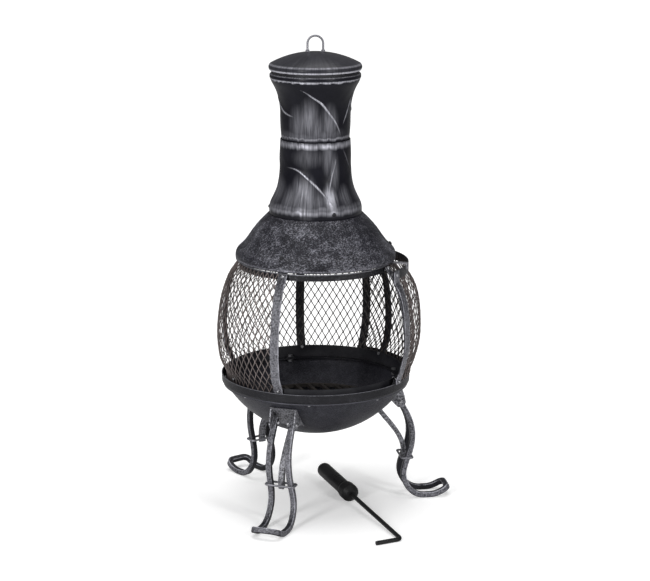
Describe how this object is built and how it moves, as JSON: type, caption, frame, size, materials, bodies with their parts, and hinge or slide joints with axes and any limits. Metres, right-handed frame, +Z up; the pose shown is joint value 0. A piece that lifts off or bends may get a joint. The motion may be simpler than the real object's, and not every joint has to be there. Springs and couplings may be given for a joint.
{
  "type": "chiminea",
  "caption": "Mesh-barrel garden chiminea on bent-bar legs, with a sliding mesh door, cone hood, lift-off cap, loose fire grate and poker.",
  "frame": {"origin": "on the ground, on the chimney axis", "axes": "+Z up along the chimney axis; the fire opening faces -Y"},
  "size_m": [0.4401, 0.5346, 0.8804],
  "materials": {
    "brushed_black": "black heat paint dry-brushed with silver",
    "hammered_hood": "black with a speckled, hammered silver wash",
    "hammered_silver": "black bar with a hammered silver wash",
    "black_sheet": "matt black heat paint",
    "cast_black": "dark charcoal, matt",
    "mesh_iron": "brown-black expanded mesh",
    "grate_iron": "sooty black",
    "fastener_steel": "darkened steel",
    "worn_steel": "dull worn steel wire",
    "poker_black": "matt black",
    "grip_black": "matt black moulded grip"
  },
  "bodies": {
    "stand": {"chimney_upper": "brushed_black", "chimney_lower": "brushed_black", "chimney_screws": "fastener_steel", "hood": "hammered_hood", "hood_bolts": "fastener_steel", "hood_bracket_1": "black_sheet", "hood_bracket_2": "black_sheet", "hood_bracket_3": "black_sheet", "bracket_rivets": "fastener_steel", "cage_top_ring": "hammered_silver", "cage_bottom_ring": "black_sheet", "strap_front_left": "hammered_silver", "strap_front_right": "hammered_silver", "strap_rear_right": "hammered_silver", "strap_rear": "hammered_silver", "strap_rear_left": "hammered_silver", "mesh_left": "mesh_iron", "mesh_rear_left": "mesh_iron", "mesh_rear_right": "mesh_iron", "mesh_right": "mesh_iron", "cage_rivets": "fastener_steel", "cage_bolts": "fastener_steel", "base_ring": "cast_black", "fire_bowl": "cast_black", "bowl_rivets": "fastener_steel", "leg_bolts": "fastener_steel", "leg_loop_1": "hammered_silver", "leg_stay_1": "hammered_silver", "leg_clamp_1": "worn_steel", "leg_bracket_1": "hammered_silver", "leg_loop_2": "hammered_silver", "leg_stay_2": "hammered_silver", "leg_clamp_2": "worn_steel", "leg_bracket_2": "hammered_silver", "leg_loop_3": "hammered_silver", "leg_stay_3": "hammered_silver", "leg_clamp_3": "worn_steel", "leg_bracket_3": "hammered_silver"},
    "cap": {"cap_dome": "brushed_black", "cap_collar": "black_sheet", "cap_loop": "worn_steel", "cap_loop_nuts": "worn_steel"},
    "door": {"door_top_band": "hammered_silver", "door_bottom_rail": "black_sheet", "door_strap_leading": "hammered_silver", "door_strap_trailing": "hammered_silver", "door_mesh": "mesh_iron", "door_tongue_1": "hammered_silver", "door_tongue_2": "hammered_silver", "door_rivets": "fastener_steel"},
    "grate": {"fire_grate": "grate_iron"},
    "poker": {"poker_rod": "poker_black", "poker_guard": "grip_black", "poker_grip": "grip_black"}
  },
  "joints": [
    {"name": "cap_lift", "type": "slide", "parent": "stand", "child": "cap", "axis": [0, 0, 1], "range_m": [0, 0.06]},
    {"name": "door_slide", "type": "hinge", "parent": "stand", "child": "door", "pos_m": [0, 0, 0.35], "axis": [0, 0, 1], "range_deg": [-76.5, 8]},
    {"name": "grate_lift", "type": "slide", "parent": "stand", "child": "grate", "axis": [0, 0, 1], "range_m": [0, 0.04]},
    {"name": "poker_pickup", "type": "slide", "parent": "stand", "child": "poker", "axis": [0, 0, 1], "range_m": [0, 0.03]}
  ]
}
